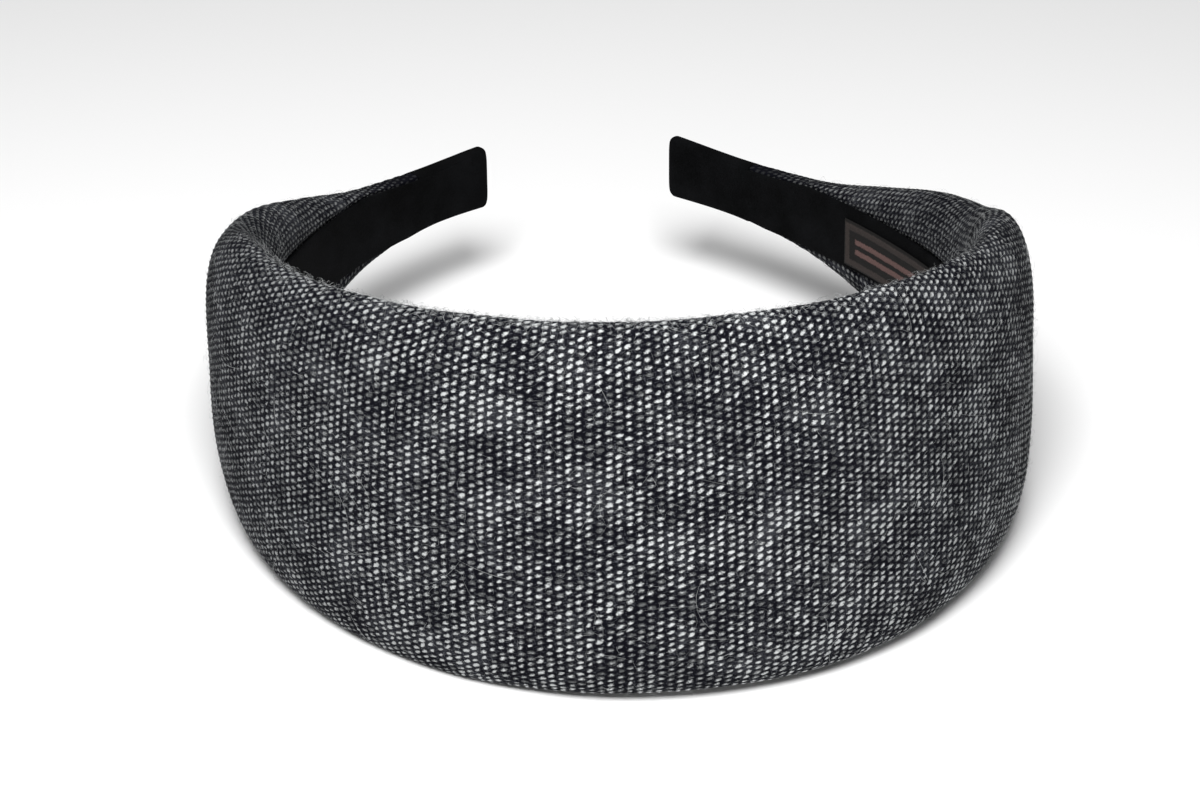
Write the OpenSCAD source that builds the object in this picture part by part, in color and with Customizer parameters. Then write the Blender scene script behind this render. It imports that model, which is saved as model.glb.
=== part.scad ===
// Padded hair band, open at the back, with a black lining and a plain woven label.
// All lengths are in millimetres. X runs from arm to arm, the front faces -Y, and +Z is up.
// The band stands on its lower edge, with the origin under the middle of its box.

/* [Plan of the band] */
// Radius of the front stretch, on the inner face
front_r = 60.2; // [56:0.1:72]
// Length of the front stretch, from the middle to one side
front_len = 47; // [38:1:52]
// Radius of the side stretch
side_r = 67.1; // [62:0.1:76]
// Length of the side stretch
side_len = 76; // [68:1:84]
// Radius of the arm
arm_r = 112; // [98:1:150]
// Length of the arm, down to its tip
arm_len = 67.7; // [58:0.1:73]

/* [Padded band] */
// Height of the band at the middle of the front
front_h = 61.6; // [44:0.2:68]
// Height of the band at its tips
tip_h = 12.2; // [9:0.1:14]
// How far the padding stands out from the inner face
pad_t = 9.4; // [6:0.1:11]
// How far the band stands out from the inner face at its tips
tip_t = 2.3; // [2:0.1:4]
// How far the soft rolls beside the lining stand inwards
roll_t = 2.6; // [1.5:0.1:4]
// How far the middle of the front leans back at its top, in degrees
front_lean = 4.7; // [0:0.1:10]
// How much more the right side leans than the left, each way from the middle, in degrees
lean_skew = 0.6; // [-3:0.1:3]
// How far the tips climb above the middle of the front
tip_rise = 5.1; // [0:0.1:12]
// How late along the arm that climb comes
rise_power = 3.8; // [2:0.1:5]
// How far the front is turned against the sides, in degrees
twist = 0.8; // [-2:0.1:2]
// How far the arms sway to the left of the front, in degrees
sway = 1.4; // [-2:0.1:2]
// How much further to the left the tips reach
tip_sway = 0.8; // [-2:0.1:2]
// How far the right tip climbs above the middle of both tips, and the left one stays below it
tip_skew = 1.1; // [-2:0.1:2]

/* [Lining] */
// Thickness of the lining
lining_t = 0.9; // [0.6:0.1:1.4]
// Height of the lining's strip along the band
strip_h = 12.4; // [10.4:0.1:14]
// How far the strip sits above the middle of the band
strip_rise = 0.75; // [0:0.05:1.2]
// How far the strip's seat stays in from the edges of a narrow arm
lining_inset = 0.3; // [0.3:0.1:1]
// Length of the lining that is wrapped round each tip
wrap_len = 18; // [12:1:26]
// Radius of the corners of each tip
tip_corner = 1.3; // [1:0.1:3]

/* [Label] */
// Length of the label, along the arm
label_len = 34; // [24:1:40]
// Height of the label
label_h = 9.2; // [6:0.2:9.4]
// Thickness of the label
label_t = 0.5; // [0.3:0.1:0.8]
// Distance along the arm from its tip to the label
label_reach = 44.5; // [30:0.5:60]

/* [Fit] */
// Clearance between pieces that meet
gap = 0.2; // [0.1:0.05:0.3]
// How far the soft lower edge is pressed flat where it rests
settle = 0.4; // [0:0.1:0.8]

/* [Hidden] */

// Columns of the table of sections
AT = 0;       // place along the half band, 0 at the middle of the front and 1 at the tip
HEIGHT = 1;   // share of the way from the tip's height to the front's
THICK = 2;    // share of the way from the tip's thickness to the padding's
ROLL = 3;     // share of the rolls' depth
LEAN = 4;     // share of the front's lean
SECTIONS = [
    [0.00, 1.00, 1.00, 1.00, 1.00],
    [0.20, 0.98, 1.00, 1.00, 0.67],
    [0.36, 0.89, 1.00, 1.00, 0.40],
    [0.46, 0.82, 1.00, 1.00, 0.23],
    [0.55, 0.61, 1.00, 0.95, 0.08],
    [0.64, 0.45, 0.98, 0.75, 0.00],
    [0.73, 0.25, 0.76, 0.48, 0.00],
    [0.82, 0.06, 0.53, 0.24, 0.00],
    [0.91, -0.02, 0.33, 0.06, 0.00],
    [1.00, 0.00, 0.00, 0.00, 0.00]
];

// Stretches of the half band, from the middle of the front to the tip: length and radius
STRETCHES = [[front_len, front_r], [side_len, side_r], [arm_len, arm_r]];

// Fullness of the padded outer face: in its rise, and at its edges
dome_fullness = 2.02;
edge_fullness = 3.4;
// Place of the outermost edge, as a share of the thickness
edge_share = 0.33;
// Points on the outer face, on each roll and round each end of a flat section
outer_steps = 16;
roll_steps = 6;
round_steps = 6;
// Stations along the half band, along the wrapped tip and along the label
cover_stations = 38;
wrap_stations = 4;
label_stations = 8;
// Steepest rest that is looked for, in degrees, and the step between the tilts tried
tilt_limit = 20;
tilt_step = 0.1;

half_len = front_len + side_len + arm_len;
wrap_at = half_len - wrap_len;

// Value of one column of the table at a length from the middle, on a smooth curve through the rows
function row_at(u, i = 0) = i >= len(SECTIONS) - 2 || SECTIONS[i + 1][AT] > u ? i : row_at(u, i + 1);
function row_slope(i, column) =
    i == 0 ? 0 :
    let (a = SECTIONS[i - 1], b = SECTIONS[min(i + 1, len(SECTIONS) - 1)])
    (b[column] - a[column]) / (b[AT] - a[AT]);
function share(s, column) =
    let (
        u = abs(s) / half_len,
        i = row_at(u),
        a = SECTIONS[i],
        b = SECTIONS[i + 1],
        step = b[AT] - a[AT],
        t = (u - a[AT]) / step
    )
    a[column] * (2 * t ^ 3 - 3 * t ^ 2 + 1) + b[column] * (3 * t ^ 2 - 2 * t ^ 3)
    + step * (row_slope(i, column) * (t ^ 3 - 2 * t ^ 2 + t) + row_slope(i + 1, column) * (t ^ 3 - t ^ 2));

function half_height(s) = (tip_h + (front_h - tip_h) * share(s, HEIGHT)) / 2;
function thickness(s) = tip_t + (pad_t - tip_t) * share(s, THICK);

// How far the strip's seat reaches from the middle of the band, on its upper side, 1, or its lower side, -1
function seat_reach(s, side) = min(strip_h / 2 + gap + side * strip_rise, half_height(s) - lining_inset);

// Point and heading on the inner face, at a length from the middle of the front
function walk(s, i = 0, p = [0, 0], a = 0) =
    let (
        last = i == len(STRETCHES) - 1,
        r = STRETCHES[i][1],
        d = last ? s : min(s, STRETCHES[i][0]),
        b = a + d / r * 180 / PI,
        q = p + r * [sin(b) - sin(a), cos(a) - cos(b)]
    )
    last || s <= STRETCHES[i][0] ? [q, b] : walk(s - d, i + 1, q, b);

// Points [out, up] of a section, set on the band: leant, laid on the plan and raised and swayed with the arm
function set_on_band(s, section) =
    let (
        w = walk(abs(s)),
        a = w[1],
        lean = front_lean * share(s, LEAN) + lean_skew * sin(180 * s / half_len),
        late = abs(s / half_len) ^ rise_power,
        rise = (tip_rise + sign(s) * tip_skew) * late
    )
    [for (p = section)
        let (
            out = p[0] * cos(lean) - p[1] * sin(lean),
            up = p[1] * cos(lean) + p[0] * sin(lean),
            back = w[0][1] - out * cos(a)
        )
        [sign(s) * (w[0][0] + out * sin(a)) - back * tan(sway) - tip_sway * late, back, up + rise]];

// The padded section: a domed outer face, a soft roll down to the lining's seat, the seat, and a roll back
function power(x, p) = sign(x) * abs(x) ^ p;
function roll_point(s, i, side) =
    let (turn = 180 * i / roll_steps, h = half_height(s), seat = seat_reach(s, side))
    [
        edge_share * thickness(s) * (1 - i / roll_steps) ^ 2 - roll_t * share(s, ROLL) * sin(turn),
        side * ((h + seat) / 2 + (h - seat) / 2 * cos(turn))
    ];
function padded_section(s) =
    let (h = half_height(s), t = thickness(s), edge = edge_share * t)
    concat(
        [for (i = [0 : outer_steps])
            let (a = 180 * i / outer_steps - 90)
            [edge + (t - edge) * cos(a) ^ (2 / dome_fullness), h * power(sin(a), 2 / edge_fullness)]],
        [for (i = [1 : roll_steps]) roll_point(s, i, 1)],
        [[0, 0]],
        [for (i = [roll_steps : -1 : 1]) roll_point(s, i, -1)]
    );

// A flat section with round edges, from one depth to another and from its lower edge to its upper edge
function flat_section(inner, outer, lower, upper) =
    let (r = (outer - inner) / 2, c = (outer + inner) / 2)
    [for (side = [-1, 1]) for (i = [0 : round_steps])
        let (a = 180 * i / round_steps + (side < 0 ? 180 : 0), end = side < 0 ? lower + r : upper - r)
        [c + r * cos(a), end + r * sin(a)]];

function mirrored(places) = concat([for (i = [len(places) - 1 : -1 : 1]) -places[i]], places);

cover_places = mirrored([for (i = [0 : cover_stations]) (wrap_at - gap) * i / cover_stations]);
cover_sections = [for (s = cover_places) set_on_band(s, padded_section(s))];

// The lining: a strip on the seat, then wrapped round the tip, whose end is rounded
strip_in = -gap - lining_t;
strip_places = [for (i = [0 : cover_stations]) (wrap_at - gap) * i / cover_stations];
wrap_places = [for (i = [0 : wrap_stations])
    wrap_at + lining_t / 2 + (wrap_len - lining_t / 2 - tip_corner) * i / wrap_stations];
function strip(s) = set_on_band(s, flat_section(strip_in, -gap, gap - seat_reach(s, -1), seat_reach(s, 1) - gap));
function wrapped(s, pull) =
    let (reach = half_height(s) - pull * tip_corner)
    set_on_band(s, flat_section(strip_in + pull * lining_t / 2, thickness(s) - pull * lining_t / 2, -reach, reach));
function half_lining(side) = concat(
    [for (s = strip_places) if (s > 0 || side > 0) strip(side * s)],
    [strip(side * wrap_at)],
    [for (s = wrap_places) wrapped(side * s, 0)],
    [for (a = [30, 60, 90]) wrapped(side * (half_len - tip_corner * (1 - sin(a))), 1 - cos(a))]
);
function reversed(list) = [for (i = [len(list) - 1 : -1 : 0]) list[i]];
lining_sections = concat(reversed(half_lining(-1)), half_lining(1));

// The label, on the lining inside one arm
label_in = strip_in - gap - label_t;
label_sections = [for (i = [0 : label_stations])
    let (s = half_len - label_reach - label_len * (1 - i / label_stations))
    set_on_band(s, [
        [strip_in - gap, -label_h / 2], [strip_in - gap, label_h / 2],
        [label_in, label_h / 2], [label_in, -label_h / 2]
    ])];

// The rest: of all the tilts, tips down, the one that brings the weight lowest over the lower edge
function sum(list) = [for (x = list) 1] * list;
function height_tilted(p, tilt) = p[2] * cos(tilt) - p[1] * sin(tilt);
half_places = [for (i = [0 : cover_stations]) half_len * i / cover_stations];
weights = [for (s = half_places) half_height(s) * thickness(s)];
middles = [for (s = half_places) set_on_band(s, [[thickness(s) / 2, 0]])[0]];
centre = weights * middles / sum(weights);
lower_edge = [for (s = half_places) set_on_band(s, [[edge_share * thickness(s), -half_height(s)]])[0]];
tilts = [-tilt_limit : tilt_step : tilt_limit];
function weight_height(tilt) =
    height_tilted(centre, tilt) - min([for (p = lower_edge) height_tilted(p, tilt)]);
lowest_weight = min([for (tilt = tilts) weight_height(tilt)]);
rest_tilt = [for (tilt = tilts) if (weight_height(tilt) == lowest_weight) tilt][0];
lowest_edge = min([for (p = lower_edge) height_tilted(p, rest_tilt)]);
rest_y = [for (p = lower_edge) if (height_tilted(p, rest_tilt) == lowest_edge) p[1]][0];

// A point of the band turned by the twist, which leaves the resting edges level, and then tilted
function turned(p) =
    let (z = p[2] + p[0] * tan(twist) * (1 - p[1] / rest_y))
    [p[0], p[1] * cos(rest_tilt) + z * sin(rest_tilt), z * cos(rest_tilt) - p[1] * sin(rest_tilt)];
function turned_all(sections) = [for (section = sections) [for (p = section) turned(p)]];
cover_turned = turned_all(cover_sections);
lining_turned = turned_all(lining_sections);
cover_low = min([for (section = cover_turned) for (p = section) p[2]]) + settle;
lining_low = min([for (section = lining_turned) for (p = section) p[2]]);
floor_z = min(cover_low, lining_low);
left_x = min([for (section = cover_turned) for (p = section) p[0]]);
right_x = max([for (section = cover_turned) for (p = section) p[0]]);
front_y = min([for (section = cover_turned) for (p = section) p[1]]);
back_y = max([for (section = lining_turned) for (p = section) p[1]]);
function standing(p) = [p[0] - (left_x + right_x) / 2, p[1] - (front_y + back_y) / 2, max(0, p[2] - floor_z)];

// A closed solid through sections that all have the same number of points
module sweep(sections) {
    n = len(sections[0]);
    last = (len(sections) - 1) * n;
    polyhedron(
        points = [for (section = sections) for (p = section) standing(p)],
        faces = concat(
            [[for (j = [n - 1 : -1 : 0]) j]],
            [[for (j = [0 : n - 1]) last + j]],
            [for (i = [0 : n : last - 1]) for (j = [0 : n - 1])
                let (k = (j + 1) % n) each [[i + j, i + k, i + n + j], [i + n + j, i + k, i + n + k]]]
        ),
        convexity = 8
    );
}

// The padded main form, covered in tweed
module tweed_cover() {
    color("#55565c")
    sweep(cover_turned);
}

// The black soft strip inside, wrapped round both tips
module inner_lining() {
    color("#17181c")
    sweep(lining_turned);
}

// The woven label, left plain
module label() {
    color("#6e5552")
    sweep(turned_all(label_sections));
}

tweed_cover();
inner_lining();
label();
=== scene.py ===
"""Builds a wide padded hair band in grey tweed, with a black lining and a plain label, on a pale floor."""

import math

import bpy
import numpy as np
from bpy.props import FloatProperty, FloatVectorProperty, IntProperty, PointerProperty
from mathutils import Matrix, Vector


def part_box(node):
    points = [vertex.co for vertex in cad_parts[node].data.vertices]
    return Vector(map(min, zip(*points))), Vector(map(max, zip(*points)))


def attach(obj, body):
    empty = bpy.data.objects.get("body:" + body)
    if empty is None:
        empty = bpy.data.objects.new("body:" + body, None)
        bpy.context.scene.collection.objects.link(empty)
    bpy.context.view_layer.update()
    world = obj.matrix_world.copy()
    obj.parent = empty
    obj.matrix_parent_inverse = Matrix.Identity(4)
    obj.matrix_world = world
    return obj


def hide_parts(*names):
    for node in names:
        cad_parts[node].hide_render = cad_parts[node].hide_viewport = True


bl_info = {
    "name": "Padded Tweed Hair Band",
    "version": (1, 0, 0),
    "blender": (4, 5, 0),
    "location": "View3D > Sidebar > Hair Band",
    "description": "Padded tweed hair band with a black lining, a plain woven label and a pale stage",
    "category": "Add Mesh",
}

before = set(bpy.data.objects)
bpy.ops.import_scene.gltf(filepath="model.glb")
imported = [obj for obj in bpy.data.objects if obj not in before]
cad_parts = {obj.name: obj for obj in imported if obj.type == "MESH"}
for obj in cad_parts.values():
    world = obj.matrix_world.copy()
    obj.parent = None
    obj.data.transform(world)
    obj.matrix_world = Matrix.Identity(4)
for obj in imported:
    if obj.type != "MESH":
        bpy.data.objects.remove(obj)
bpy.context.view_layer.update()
MM = 0.001
WEAVE_MAP = "Weave"
# Least and greatest angle of a random direction, in radians
TURN = (0, 2 * math.pi)
# Shortest vector that can be brought to a length of one
TINY = 1e-9

# Shares along the half band, from the middle of the front to the tip
PLACE, HEIGHT, THICK, ROLL, LEAN = range(5)
SHARES = np.array([
    (0.00, 1.00, 1.00, 1.00, 1.00),
    (0.20, 0.98, 1.00, 1.00, 0.67),
    (0.36, 0.89, 1.00, 1.00, 0.40),
    (0.46, 0.82, 1.00, 1.00, 0.23),
    (0.55, 0.61, 1.00, 0.95, 0.08),
    (0.64, 0.45, 0.98, 0.75, 0.00),
    (0.73, 0.25, 0.76, 0.48, 0.00),
    (0.82, 0.06, 0.53, 0.24, 0.00),
    (0.91, -0.02, 0.33, 0.06, 0.00),
    (1.00, 0.00, 0.00, 0.00, 0.00),
])


class BandSizes(bpy.types.PropertyGroup):
    """Sizes of the padded form, the same as the solid's"""

    front_radius: FloatProperty(
        name="Front Radius", description="Radius of the front stretch, on the inner face",
        default=60.2 * MM, min=0.04, unit="LENGTH",
    )
    front_length: FloatProperty(
        name="Front Length", description="Length of the front stretch, from the middle to one side",
        default=47 * MM, min=0.01, unit="LENGTH",
    )
    side_radius: FloatProperty(
        name="Side Radius", description="Radius of the side stretch",
        default=67.1 * MM, min=0.04, unit="LENGTH",
    )
    side_length: FloatProperty(
        name="Side Length", description="Length of the side stretch",
        default=76 * MM, min=0.01, unit="LENGTH",
    )
    arm_radius: FloatProperty(
        name="Arm Radius", description="Radius of the arm",
        default=112 * MM, min=0.04, unit="LENGTH",
    )
    arm_length: FloatProperty(
        name="Arm Length", description="Length of the arm, down to its tip",
        default=67.7 * MM, min=0.01, unit="LENGTH",
    )
    front_height: FloatProperty(
        name="Front Height", description="Height at the middle of the front",
        default=61.6 * MM, min=0.02, unit="LENGTH",
    )
    tip_height: FloatProperty(
        name="Tip Height", description="Height at the tips",
        default=12.2 * MM, min=0.005, unit="LENGTH",
    )
    padding: FloatProperty(
        name="Padding", description="How far the padding stands out from the inner face",
        default=9.4 * MM, min=0.003, unit="LENGTH",
    )
    tip_thickness: FloatProperty(
        name="Tip Thickness", description="How far the band stands out from the inner face at its tips",
        default=2.3 * MM, min=0.001, unit="LENGTH",
    )
    roll_depth: FloatProperty(
        name="Roll Depth", description="How far the soft rolls beside the lining stand inwards",
        default=2.6 * MM, min=0, unit="LENGTH",
    )
    front_lean: FloatProperty(
        name="Front Lean", description="How far the front leans back at its top",
        default=math.radians(4.7), subtype="ANGLE",
    )
    lean_skew: FloatProperty(
        name="Lean Skew",
        description="How much more the right side leans than the left, each way from the middle",
        default=math.radians(0.6), subtype="ANGLE",
    )
    tip_rise: FloatProperty(
        name="Tip Rise", description="How far the tips climb above the middle of the front",
        default=5.1 * MM, unit="LENGTH",
    )
    rise_power: FloatProperty(
        name="Rise Power", description="How late along the arm that climb comes",
        default=3.8, min=1,
    )
    twist: FloatProperty(
        name="Twist", description="How far the front is turned against the sides",
        default=math.radians(0.8), subtype="ANGLE",
    )
    sway: FloatProperty(
        name="Sway", description="How far the arms sway to the left of the front",
        default=math.radians(1.4), subtype="ANGLE",
    )
    tip_sway: FloatProperty(
        name="Tip Sway", description="How much further to the left the tips reach",
        default=0.8 * MM, unit="LENGTH",
    )
    tip_skew: FloatProperty(
        name="Tip Skew", description="How far the right tip climbs above the middle of both tips",
        default=1.1 * MM, unit="LENGTH",
    )
    outer_fullness: FloatProperty(
        name="Outer Fullness", description="Fullness of the domed outer face",
        default=2.02, min=1,
    )
    edge_fullness: FloatProperty(
        name="Edge Fullness", description="Fullness of the outer face at its edges",
        default=3.4, min=1,
    )
    edge_share: FloatProperty(
        name="Edge Share", description="Place of the outermost edge in the thickness",
        default=0.33, min=0, max=1, subtype="FACTOR",
    )
    lining_thickness: FloatProperty(
        name="Lining Thickness", description="Thickness of the lining",
        default=0.9 * MM, min=0.0003, unit="LENGTH",
    )
    strip_height: FloatProperty(
        name="Strip Height", description="Height of the lining's strip along the band",
        default=12.4 * MM, min=0.005, unit="LENGTH",
    )
    strip_rise: FloatProperty(
        name="Strip Rise", description="How far the strip sits above the middle of the band",
        default=0.75 * MM, unit="LENGTH",
    )
    lining_inset: FloatProperty(
        name="Lining Inset", description="How far the strip's seat stays in from the edges of a narrow arm",
        default=0.3 * MM, min=0, unit="LENGTH",
    )
    wrap_length: FloatProperty(
        name="Wrap Length", description="Length of the lining that is wrapped round each tip",
        default=18 * MM, min=0.005, unit="LENGTH",
    )
    tip_corner: FloatProperty(
        name="Tip Corner", description="Radius of the corners of each tip",
        default=1.3 * MM, min=0.0005, unit="LENGTH",
    )
    clearance: FloatProperty(
        name="Clearance", description="Gap between pieces that meet",
        default=0.2 * MM, min=0, unit="LENGTH",
    )


class TweedLook(bpy.types.PropertyGroup):
    """Weave and colours of the tweed"""

    warp_pitch: FloatProperty(
        name="Warp Pitch", description="Distance from one column of floats to the next",
        default=1.36 * MM, min=0.0003, unit="LENGTH",
    )
    pick_repeat: FloatProperty(
        name="Pick Repeat", description="Distance between floats in one column",
        default=1.18 * MM, min=0.0003, unit="LENGTH",
    )
    skew: FloatProperty(
        name="Skew", description="Slope of the weft across the band",
        default=0.095,
    )
    relief: FloatProperty(
        name="Relief", description="Height of the floats over the middle of the cloth",
        default=0.13 * MM, min=0, unit="LENGTH",
    )
    float_slant: FloatProperty(
        name="Float Slant", description="Slant of each pale float",
        default=math.radians(19), subtype="ANGLE",
    )
    pale_yarn: FloatVectorProperty(
        name="Pale Yarn", description="Colour of the palest weft floats",
        subtype="COLOR", size=3, default=(0.585, 0.6, 0.604), min=0, max=1,
    )
    grey_yarn: FloatVectorProperty(
        name="Grey Yarn", description="Colour of the dullest weft floats",
        subtype="COLOR", size=3, default=(0.082, 0.085, 0.087), min=0, max=1,
    )
    dark_yarn: FloatVectorProperty(
        name="Dark Yarn", description="Colour of the warp",
        subtype="COLOR", size=3, default=(0.0028, 0.0029, 0.0053), min=0, max=1,
    )
    dusty_fibre: FloatVectorProperty(
        name="Dusty Fibre", description="Colour of the fine fibres over the warp",
        subtype="COLOR", size=3, default=(0.118, 0.123, 0.138), min=0, max=1,
    )
    # Painted shade that dulls the floats on the arms, standing in for the light that falls off away from the
    # front
    arm_shade: FloatProperty(
        name="Arm Dullness", description="How much duller the floats are on the arms than at the front",
        default=0.74, min=0, max=1, subtype="FACTOR",
    )
    fuzz_fibres: IntProperty(
        name="Fuzz Fibres", description="Number of short fibres that stand off the cloth",
        default=4800, min=0,
    )
    rim_fibres: IntProperty(
        name="Rim Fibres", description="Number of short fibres that stand up along the upper rim",
        default=2300, min=0,
    )
    stray_fibres: IntProperty(
        name="Stray Fibres", description="Number of long pale fibres on the cloth",
        default=260, min=0,
    )


class TrimLook(bpy.types.PropertyGroup):
    """Lining and label"""

    lining_black: FloatVectorProperty(
        name="Lining Black", description="Colour of the lining",
        subtype="COLOR", size=3, default=(0.0020, 0.0021, 0.0024), min=0, max=1,
    )
    label_length: FloatProperty(
        name="Label Length", description="Length of the label, along the arm",
        default=34 * MM, min=0.005, unit="LENGTH",
    )
    label_height: FloatProperty(
        name="Label Height", description="Height of the label",
        default=9.2 * MM, min=0.002, unit="LENGTH",
    )
    label_thickness: FloatProperty(
        name="Label Thickness", description="Thickness of the label",
        default=0.5 * MM, min=0.0002, unit="LENGTH",
    )
    label_reach: FloatProperty(
        name="Label Reach", description="Distance along the arm from its tip to the label",
        default=44.5 * MM, min=0, unit="LENGTH",
    )
    label_ground: FloatVectorProperty(
        name="Label Ground", description="Colour of the label's ground",
        subtype="COLOR", size=3, default=(0.0045, 0.0042, 0.004), min=0, max=1,
    )
    label_border: FloatVectorProperty(
        name="Label Border", description="Colour of the label's woven border",
        subtype="COLOR", size=3, default=(0.036, 0.028, 0.0255), min=0, max=1,
    )
    label_bar: FloatVectorProperty(
        name="Label Bar", description="Colour of the label's plain bars",
        subtype="COLOR", size=3, default=(0.14, 0.08, 0.073), min=0, max=1,
    )


class StageLook(bpy.types.PropertyGroup):
    """Floor, light and camera"""

    floor_colour: FloatVectorProperty(
        name="Floor Colour", description="Colour of the floor",
        subtype="COLOR", size=3, default=(0.92, 0.92, 0.92), min=0, max=1,
    )
    sky_strength: FloatProperty(
        name="Sky Strength", description="Strength of the even light all round",
        default=0.27, min=0,
    )
    softbox_power: FloatProperty(
        name="Softbox Power", description="Power of the large soft light above the front",
        default=6.0, min=0, unit="POWER",
    )
    fill_power: FloatProperty(
        name="Fill Power", description="Power of the low light in front",
        default=0.1, min=0, unit="POWER",
    )
    camera_target: FloatVectorProperty(
        name="Camera Target", description="Point that the camera looks at",
        subtype="XYZ", size=3, default=(-0.004729, -0.020892, 0.024998), precision=5,
    )
    camera_azimuth: FloatProperty(
        name="Camera Azimuth", description="Turn of the camera round the band",
        default=math.radians(-3.751), subtype="ANGLE",
    )
    camera_elevation: FloatProperty(
        name="Camera Elevation", description="Height of the camera over the horizon",
        default=math.radians(28.697), subtype="ANGLE",
    )
    camera_roll: FloatProperty(
        name="Camera Roll", description="Roll of the camera",
        default=math.radians(0.184), subtype="ANGLE",
    )
    camera_distance: FloatProperty(
        name="Camera Distance", description="Distance of the camera from its target",
        default=0.529183, min=0.1, unit="LENGTH",
    )
    camera_lens: FloatProperty(
        name="Camera Lens", description="Focal length on a 36 mm sensor",
        default=93.413, min=10, unit="CAMERA",
    )


def in_mm(metres):
    """A length in millimetres, in which the forms are worked out."""
    return metres / MM


def unit(vectors):
    """Vectors brought to a length of one."""
    return vectors / np.maximum(np.linalg.norm(vectors, axis=-1, keepdims=True), TINY)


class BandForm:
    """The band's form in millimetres, worked out from its sizes and stood where the solid stands."""

    # Steps from the middle of the padded outer face to each of its edges
    PROFILE_STEPS = 96
    # Stations along half the band in the search for its rest
    REST_STATIONS = 39
    # Widest tilt tried, and the step from one tilt to the next, in degrees
    WIDEST_TILT, TILT_STEP = 20, 0.1
    # Stations along the band on which its box is measured
    BOX_STATIONS = 401

    def __init__(self, sizes):
        self.stretches = (
            (in_mm(sizes.front_length), in_mm(sizes.front_radius)),
            (in_mm(sizes.side_length), in_mm(sizes.side_radius)),
            (in_mm(sizes.arm_length), in_mm(sizes.arm_radius)),
        )
        self.half_length = sum(length for length, _ in self.stretches)
        self.wrap_at = self.half_length - in_mm(sizes.wrap_length)
        self.front_height, self.tip_height = in_mm(sizes.front_height), in_mm(sizes.tip_height)
        self.padding, self.tip_thickness = in_mm(sizes.padding), in_mm(sizes.tip_thickness)
        self.roll_depth, self.tip_corner = in_mm(sizes.roll_depth), in_mm(sizes.tip_corner)
        self.front_lean, self.lean_skew = sizes.front_lean, sizes.lean_skew
        self.tip_rise, self.rise_power = in_mm(sizes.tip_rise), sizes.rise_power
        self.twist, self.sway = sizes.twist, sizes.sway
        self.tip_sway, self.tip_skew = in_mm(sizes.tip_sway), in_mm(sizes.tip_skew)
        self.outer_fullness, self.edge_fullness = sizes.outer_fullness, sizes.edge_fullness
        self.edge_share = sizes.edge_share
        self.clearance, self.lining_thickness = in_mm(sizes.clearance), in_mm(sizes.lining_thickness)
        self.strip_height, self.strip_rise = in_mm(sizes.strip_height), in_mm(sizes.strip_rise)
        self.lining_inset = in_mm(sizes.lining_inset)
        self.find_rest()
        self.match_box()

    def share(self, s, column):
        """A column of the shares at lengths s from the middle, on a smooth curve through its rows."""
        places, values = SHARES[:, PLACE], SHARES[:, column]
        after = np.append(np.arange(2, len(places)), len(places) - 1)
        slopes = np.zeros(len(places))
        slopes[1:] = (values[after] - values[:-1]) / (places[after] - places[:-1])
        u = np.abs(s) / self.half_length
        i = np.clip(np.searchsorted(places, u, side="right") - 1, 0, len(places) - 2)
        step = places[i + 1] - places[i]
        t = (u - places[i]) / step
        return (
            values[i] * (2 * t**3 - 3 * t**2 + 1)
            + values[i + 1] * (3 * t**2 - 2 * t**3)
            + step * (slopes[i] * (t**3 - 2 * t**2 + t) + slopes[i + 1] * (t**3 - t**2))
        )

    def half_height(self, s):
        """Half of the band's height at lengths s."""
        return (self.tip_height + (self.front_height - self.tip_height) * self.share(s, HEIGHT)) / 2

    def thickness(self, s):
        """How far the band stands out from the inner face at lengths s."""
        return self.tip_thickness + (self.padding - self.tip_thickness) * self.share(s, THICK)

    def seat_reach(self, s, side):
        """How far the strip's seat reaches from the middle: upwards, side 1, or downwards, side -1."""
        full = self.strip_height / 2 + self.clearance + side * self.strip_rise
        return np.minimum(full, self.half_height(s) - self.lining_inset)

    def walk(self, s):
        """Place and heading on the inner face, at lengths s from the middle of the front."""
        s = np.abs(s)
        x, y, heading = np.zeros_like(s), np.zeros_like(s), np.zeros_like(s)
        start, start_x, start_y, turned = 0.0, 0.0, 0.0, 0.0
        for k, (length, radius) in enumerate(self.stretches):
            last = k == len(self.stretches) - 1
            here = (s >= start) & (last | (s <= start + length))
            to = turned + (s[here] - start) / radius
            x[here] = start_x + radius * (np.sin(to) - math.sin(turned))
            y[here] = start_y + radius * (math.cos(turned) - np.cos(to))
            heading[here] = to
            end = turned + length / radius
            start_x += radius * (math.sin(end) - math.sin(turned))
            start_y += radius * (math.cos(turned) - math.cos(end))
            turned, start = end, start + length
        return x, y, heading

    def lay(self, s, out, up):
        """Points at lengths s, standing out from the inner face and up from its middle, laid on the plan."""
        s, out, up = np.broadcast_arrays(np.asarray(s, float), out, up)
        x, y, heading = self.walk(s)
        skew = self.lean_skew * np.sin(math.pi * s / self.half_length)
        lean = self.front_lean * self.share(s, LEAN) + skew
        far = out * np.cos(lean) - up * np.sin(lean)
        high = up * np.cos(lean) + out * np.sin(lean)
        late = np.abs(s / self.half_length) ** self.rise_power
        back = y - far * np.cos(heading)
        side = np.sign(s) * (x + far * np.sin(heading)) - back * math.tan(self.sway) - self.tip_sway * late
        return np.stack([side, back, high + (self.tip_rise + np.sign(s) * self.tip_skew) * late], -1)

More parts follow.
